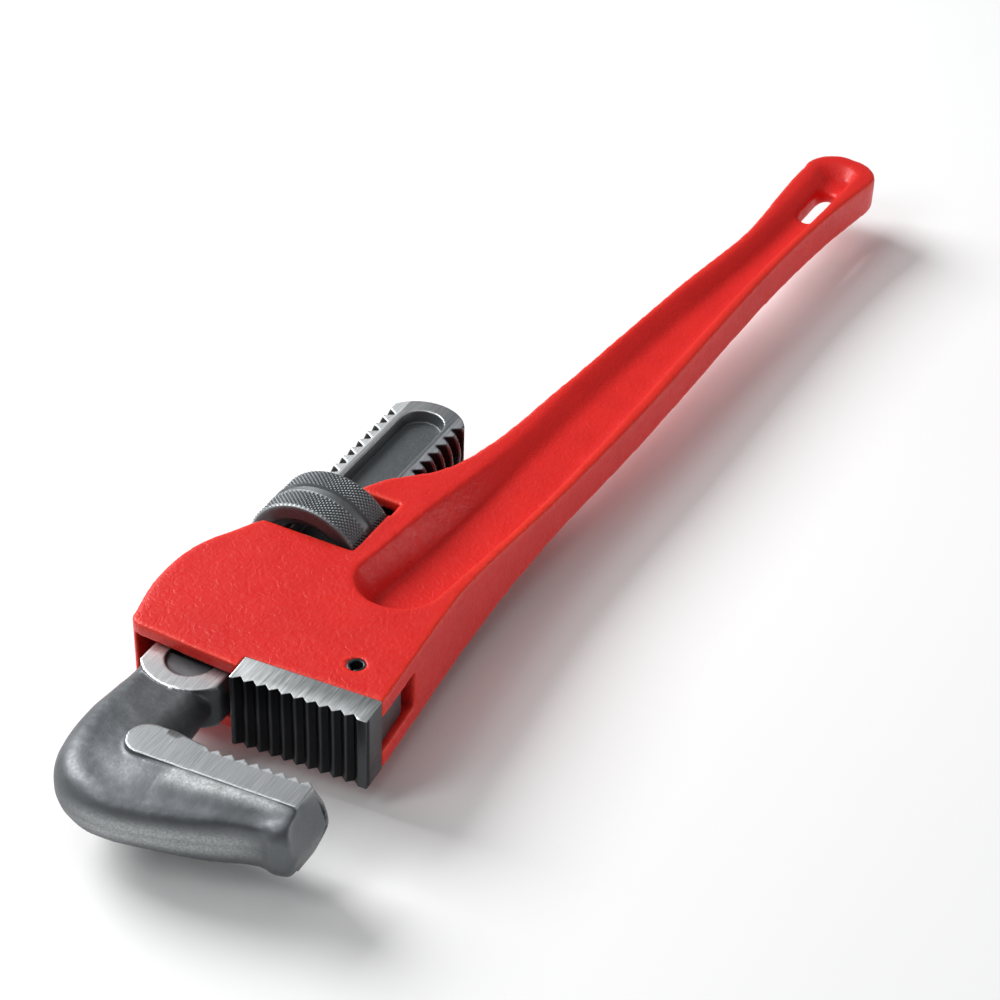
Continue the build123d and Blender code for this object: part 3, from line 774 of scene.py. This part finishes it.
def stretch(start, end, step):
    """Points from start up to end, evenly, about a step apart."""
    count = max(1, round(abs(end[0] - start[0]) / step + abs(end[1] - start[1]) / step))
    return [tuple(a + (b - a) * k / count for a, b in zip(start, end)) for k in range(count)]


middle = NUT_LEN / 2
corners = [
    ((0.0, NUT_R - RIM), 0.5),
    ((RIM, NUT_R), KNURL_PITCH / STEPS),
    ((middle - GROOVE_HALF_W - 0.3, NUT_R), 0.3),
    ((middle - GROOVE_HALF_W, NUT_R - GROOVE_DEPTH), 0.8),
    ((middle + GROOVE_HALF_W, NUT_R - GROOVE_DEPTH), 0.3),
    ((middle + GROOVE_HALF_W + 0.3, NUT_R), KNURL_PITCH / STEPS),
    ((NUT_LEN - RIM, NUT_R), 0.5),
    ((NUT_LEN, NUT_R - RIM), 1.0),
    ((NUT_LEN, COUNTERSINK_R), 0.5),
    ((NUT_LEN - 0.6, COUNTERSINK_R - 0.5), 1.2),
    ((NUT_LEN - 1.0, BORE_R), 0.36),
    ((1.0, BORE_R), 1.2),
    ((0.6, COUNTERSINK_R - 0.5), 0.5),
    ((0.0, COUNTERSINK_R), 1.0),
]
profile = []
for (start, step), (end, _) in zip(corners, corners[1:] + corners[:1]):
    profile += stretch(start, end, step)
print("nut profile points:", len(profile), "columns:", KNURLS_AROUND * STEPS)

# %% [markdown]
# Every size of the nut goes in through a named input of its tree, so the same tree would turn
# another nut. A modifier knows an input by its identifier, which Blender gives when it is made.

# %% The nut's tree: inputs
def named_input(tree, name, kind="NodeSocketFloat"):
    """One named input of a tree, and its identifier for the modifier."""
    return tree.interface.new_socket(name=name, in_out="INPUT", socket_type=kind).identifier


def set_inputs(modifier, values):
    """Feeds a Geometry Nodes modifier by socket identifier."""
    for identifier, value in values.items():
        modifier[identifier] = value


turned = bpy.data.node_groups.new("knurled_nut", "GeometryNodeTree")
named_input(turned, "Profile", "NodeSocketGeometry")
turned.interface.new_socket(name="Nut", in_out="OUTPUT", socket_type="NodeSocketGeometry")
nut_values = {
    named_input(turned, "Profile Points", "NodeSocketInt"): len(profile),
    named_input(turned, "Columns", "NodeSocketInt"): KNURLS_AROUND * STEPS,
    named_input(turned, "Knurls Around"): float(KNURLS_AROUND),
    named_input(turned, "Knurl Pitch"): mm(KNURL_PITCH),
    named_input(turned, "Knurl Depth"): mm(KNURL_DEPTH),
    named_input(turned, "Outer Radius"): mm(NUT_R),
    named_input(turned, "Bore Radius"): mm(BORE_R),
    named_input(turned, "Thread Depth"): mm(THREAD_DEPTH),
    named_input(turned, "Thread Pitch"): mm(THREAD_PITCH),
    named_input(turned, "Length"): mm(NUT_LEN),
    named_input(turned, "Surface", "NodeSocketMaterial"): oxide_black,
}
print("nut tree inputs:", [item.name for item in turned.interface.items_tree])

# %% [markdown]
# The grid has one column for each step of the turn and one row for each profile point, plus one
# of each to close the ring. Its own flat position says which turn and which profile point.

# %% The nut's tree: a grid bent round the axis
given = add(turned, "NodeGroupInput").node.outputs
rows = maths(turned, "ADD", given["Profile Points"], 1.0)
columns = maths(turned, "ADD", given["Columns"], 1.0)
grid = add(
    turned, "GeometryNodeMeshGrid", {"Size X": 1.0, "Size Y": 1.0, "Vertices X": columns, "Vertices Y": rows}
)
spot = add(turned, "ShaderNodeSeparateXYZ", {0: add(turned, "GeometryNodeInputPosition")}).node.outputs
turn = maths(turned, "ADD", spot["X"], 0.5)
along = maths(turned, "ADD", spot["Y"], 0.5)
along = maths(turned, "MULTIPLY", along, given["Profile Points"])
along = maths(turned, "ROUND", along)
along = maths(turned, "MODULO", along, given["Profile Points"])
section = add(
    turned,
    "GeometryNodeSampleIndex",
    {"Geometry": given["Profile"], "Value": add(turned, "GeometryNodeInputPosition"), "Index": along},
    data_type="FLOAT_VECTOR",
    domain="POINT",
)
section = add(turned, "ShaderNodeSeparateXYZ", {0: section}).node.outputs
print("grid ready")

# %% [markdown]
# Two families of spirals, one leaning each way, are the sum and the difference of turn and
# length. PINGPONG makes each a triangle wave. The knurl fades out at the rims and at the smooth
# band in the middle.

# %% The nut's tree: the diamond knurl
turns = maths(turned, "MULTIPLY", turn, given["Knurls Around"])
lead = maths(turned, "DIVIDE", section["X"], given["Knurl Pitch"])
waves = []
for operation in ("ADD", "SUBTRACT"):
    spiral = maths(turned, operation, turns, lead)
    waves.append(maths(turned, "PINGPONG", spiral, 0.5))
pyramid = maths(turned, "MINIMUM", waves[0], waves[1])
pyramid = add(turned, "ShaderNodeMath", {0: pyramid, 1: 2.5}, operation="MULTIPLY", use_clamp=True)
sunk = maths(turned, "SUBTRACT", 1.0, pyramid)
from_rim = maths(turned, "DIVIDE", section["X"], given["Length"])
from_rim = maths(turned, "PINGPONG", from_rim, 0.5)
from_rim = maths(turned, "MULTIPLY", from_rim, given["Length"])
rolled = ramp(turned, from_rim, mm(0.15), mm(1.0))
groove_edge = middle - GROOVE_HALF_W
to_groove = ramp(turned, from_rim, mm(groove_edge - 0.3), mm(groove_edge - 0.8))
outer = ramp(turned, section["Y"], mm(NUT_R - 0.8), mm(NUT_R - 0.3))
rolled = maths(turned, "MULTIPLY", rolled, to_groove)
rolled = maths(turned, "MULTIPLY", rolled, outer)
sunk = maths(turned, "MULTIPLY", sunk, rolled)
drop = maths(turned, "MULTIPLY", sunk, given["Knurl Depth"])
print("knurl ready")

# %% [markdown]
# The thread in the bore is the mirror of the shank's: its crest stands where the shank's root
# runs, and a right-handed root moves on by one pitch a turn, counted from +Y towards +Z.

# %% The nut's tree: the thread, and each point's place in space
THREAD_FIRST_ROOT = 0.4  # where the shank's root crosses +Y
CREST_HALF_FLAT, FLANK_SLOPE = 0.15, 0.75

shifted = maths(turned, "SUBTRACT", section["X"], mm(THREAD_FIRST_ROOT))
phase = maths(turned, "DIVIDE", shifted, given["Thread Pitch"])
phase = maths(turned, "SUBTRACT", phase, turn)
away = maths(turned, "PINGPONG", phase, 0.5)
away = maths(turned, "MULTIPLY", away, given["Thread Pitch"])
flank_end = mm(CREST_HALF_FLAT + THREAD_DEPTH * FLANK_SLOPE)
opened = ramp(turned, away, mm(CREST_HALF_FLAT), flank_end, high=given["Thread Depth"])
in_bore = maths(turned, "SUBTRACT", section["Y"], given["Bore Radius"])
in_bore = maths(turned, "LESS_THAN", in_bore, mm(0.05))
opened = maths(turned, "MULTIPLY", opened, in_bore)
radius = maths(turned, "SUBTRACT", section["Y"], drop)
radius = maths(turned, "ADD", radius, opened)
angle = maths(turned, "MULTIPLY", turn, math.tau)
across = maths(turned, "COSINE", angle)
across = maths(turned, "MULTIPLY", across, radius)
upward = maths(turned, "SINE", angle)
upward = maths(turned, "MULTIPLY", upward, radius)
target = add(turned, "ShaderNodeCombineXYZ", {"X": section["X"], "Y": across, "Z": upward})
target = add(turned, "ShaderNodeVectorMath", {0: target, 1: SHANK_ORIGIN}, operation="ADD")
print("thread ready")

# %% [markdown]
# Last, the tree stores how rubbed each point is: the knurl's points, the rims and the shoulders of
# the band. Then it bends the grid, closes it, and ends like any tree here, with real geometry
# and a material.

# %% The nut's tree: what is rubbed, and the finished mesh
bright_rim = ramp(turned, from_rim, mm(1.3), mm(0.5), high=0.7)
on_rim = ramp(turned, section["Y"], mm(NUT_R - 0.95), mm(NUT_R - 0.7))
bright_rim = maths(turned, "MULTIPLY", bright_rim, on_rim)
point = maths(turned, "POWER", pyramid, 2.0)
point = maths(turned, "MULTIPLY", point, rolled)
point = maths(turned, "MULTIPLY", point, 0.5)
rubbed = maths(turned, "MAXIMUM", point, bright_rim)
shoulder = ramp(turned, from_rim, mm(groove_edge - 0.9), mm(groove_edge - 0.3), high=0.5)
beside = maths(turned, "GREATER_THAN", section["Y"], mm(NUT_R - 1.2))
shoulder = maths(turned, "MULTIPLY", shoulder, beside)
rubbed = maths(turned, "MAXIMUM", rubbed, shoulder)
stored = add(
    turned,
    "GeometryNodeStoreNamedAttribute",
    {"Geometry": grid, "Name": "rubbed", "Value": rubbed},
    data_type="FLOAT",
    domain="POINT",
)
bent = add(turned, "GeometryNodeSetPosition", {"Geometry": stored, "Position": target})
closed = add(turned, "GeometryNodeMergeByDistance", {"Geometry": bent, "Distance": mm(0.002)})
real = add(turned, "GeometryNodeRealizeInstances", {"Geometry": closed})
painted = add(turned, "GeometryNodeSetMaterial", {"Geometry": real, "Material": given["Surface"]})
add(turned, "NodeGroupOutput", {"Nut": painted})
print("nut tree nodes:", len(turned.nodes))

# %% [markdown]
# The half profile goes in as loose points. The tree turns it to a closed mesh, whose faces are
# then made to look outwards, which also gives the volume.

# %% Turn the nut
nut_mesh = bpy.data.meshes.new("knurled_nut")
nut_mesh.from_pydata([(mm(a), mm(r), 0.0) for a, r in profile], [], [])
nut = bpy.data.objects.new("knurled_nut", nut_mesh)
bpy.context.scene.collection.objects.link(nut)
turning = nut.modifiers.new("turned", "NODES")
turning.node_group = turned
set_inputs(turning, nut_values)
settle(nut)


def face_outwards(mesh):
    """Recalculates a closed mesh's normals."""
    work = bmesh.new()
    work.from_mesh(mesh)
    bmesh.ops.recalc_face_normals(work, faces=work.faces)
    volume = work.calc_volume(signed=True)
    work.to_mesh(mesh)
    work.free()
    return volume * 1e9


print("nut volume, mm3:", round(face_outwards(nut.data)))
nut.data.shade_smooth()
nut.data.set_sharp_from_angle(angle=math.radians(50))
hand_over(nut, "nut", "blackened_steel", "adjusting_nut")

# %% [markdown]
# ## The springs in the head
#
# A flat leaf rides on the shank's back, and a small coil presses it down. The leaf is a machined
# copy with broken corners. The coil follows a spiral, so Geometry Nodes wind it: a Spiral curve,
# a round section swept along it, both ends capped.

# %% The leaf
leaf = broken_corners("flat_spring", "flat_spring_leaf", 0.2)
leaf.data.materials.append(spring_blue)
hand_over(leaf, "rocker", "spring_steel", "flat_spring")

# %% The coil: its tree
WIRE_R, COIL_TURNS = 0.6, 4.5
BOSS_ROOM = 0.5  # extra radius, so that the leaf's boss stays clear when the jaw rocks
coil_low, coil_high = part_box("coil_spring")
coil_middle = (coil_low + coil_high) / 2

wound = bpy.data.node_groups.new("wound_coil", "GeometryNodeTree")
wound.interface.new_socket(name="Coil", in_out="OUTPUT", socket_type="NodeSocketGeometry")
coil_values = {
    named_input(wound, "Turns"): COIL_TURNS,
    named_input(wound, "Radius"): (coil_high.x - coil_low.x) / 2 + mm(BOSS_ROOM - WIRE_R),
    named_input(wound, "Height"): coil_high.y - coil_low.y - 2.2 * mm(WIRE_R),
    named_input(wound, "Wire Radius"): mm(WIRE_R),
    named_input(wound, "Surface", "NodeSocketMaterial"): spring_blue,
}
given = add(wound, "NodeGroupInput").node.outputs
spiral = add(
    wound,
    "GeometryNodeCurveSpiral",
    {
        "Resolution": 40,
        "Rotations": given["Turns"],
        "Start Radius": given["Radius"],
        "End Radius": given["Radius"],
        "Height": given["Height"],
    },
)
section = add(wound, "GeometryNodeCurvePrimitiveCircle", {"Resolution": 16, "Radius": given["Wire Radius"]})
wire = add(wound, "GeometryNodeCurveToMesh", {"Curve": spiral, "Profile Curve": section, "Fill Caps": True})
stood = add(
    wound,
    "GeometryNodeTransform",
    {
        "Geometry": wire,
        "Translation": (coil_middle.x, coil_low.y + mm(1.1 * WIRE_R), coil_middle.z),
        "Rotation": (math.radians(-90), 0, 0),
    },
)
real = add(wound, "GeometryNodeRealizeInstances", {"Geometry": stood})
painted = add(wound, "GeometryNodeSetMaterial", {"Geometry": real, "Material": given["Surface"]})
add(wound, "NodeGroupOutput", {"Coil": painted})
print("coil tree nodes:", len(wound.nodes))

# %% [markdown]
# The coil stands between the leaf and a seat in the head. Rocking the jaw by its full angle
# moves the leaf by a little over a quarter of the coil's length, so the coil gives by three
# tenths and stays just clear of the leaf.

coil = bpy.data.objects.new("coil_spring_wire", bpy.data.meshes.new("coil_spring_wire"))
bpy.context.scene.collection.objects.link(coil)
winding = coil.modifiers.new("wound", "NODES")
winding.node_group = wound
set_inputs(winding, coil_values)
settle(coil)
print("coil volume, mm3:", round(face_outwards(coil.data)))
coil.data.shade_smooth()
hand_over(coil, "handle", "spring_steel", "coil_spring")
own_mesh(coil)

# %% [markdown]
# ## Floor and light
#
# A pale floor and four soft panels, as on a catalogue table. The key stands behind the wrench
# and rakes over its broad side, a wide panel overhead softens it, a small one beyond the hook
# draws the bright line along its crown, and a low strip in front lifts the grip's near side.

# %% Floor and sky
FLOOR_HALF = 4.0
floor_corners = [(a * FLOOR_HALF, b * FLOOR_HALF, 0) for a, b in ((-1, -1), (1, -1), (1, 1), (-1, 1))]
floor_mesh = bpy.data.meshes.new("floor")
floor_mesh.from_pydata(floor_corners, [], [(0, 1, 2, 3)])
floor = bpy.data.objects.new("floor", floor_mesh)
bpy.context.scene.collection.objects.link(floor)
paper, tree = new_material("white_paper")
fibre = add(tree, "ShaderNodeTexNoise", {"Scale": 40.0, "Detail": 2.0})
sheet_tone = tinted(tree, fibre, "#f8f8f8", "#fcfcfc")
shader = add(tree, "ShaderNodeBsdfPrincipled", {"Base Color": sheet_tone, "Roughness": 0.9})
add(tree, "ShaderNodeOutputMaterial", {"Surface": shader})
floor_mesh.materials.append(paper)

world = bpy.data.worlds.new("studio")
world.use_nodes = True
world.node_tree.nodes.clear()
sky = add(world.node_tree, "ShaderNodeBackground", {"Color": colour("#f4f6f8"), "Strength": 0.18})
add(world.node_tree, "ShaderNodeOutputWorld", {"Surface": sky})
bpy.context.scene.world = world
bpy.context.scene.view_settings.view_transform = "Standard"
print("floor and sky ready")


# %% Lamps
def panel(name, place, target, width, height, watts):
    """A soft rectangular lamp aimed at a point."""
    lamp = bpy.data.objects.new(name, bpy.data.lights.new(name, "AREA"))
    lamp.data.shape = "RECTANGLE"
    lamp.data.size, lamp.data.size_y = width, height
    lamp.data.energy = watts
    lamp.location = place
    lamp.rotation_mode = "QUATERNION"
    lamp.rotation_quaternion = (Vector(target) - Vector(place)).to_track_quat("-Z", "Y")
    bpy.context.scene.collection.objects.link(lamp)
    print(name, watts, "W")


panel("key_light", (0.15, 1.25, 1.0), (0, 0, 0), 1.0, 0.8, 30)
panel("overhead_light", (0.0, 0.3, 2.2), (0, 0, 0), 2.2, 2.2, 9)
panel("crown_light", (-1.0, 0.55, 1.1), (-0.1, 0, 0), 0.4, 0.7, 5)
panel("side_light", (0.45, -1.3, 0.22), (0.05, 0, 0), 1.5, 0.3, 5)
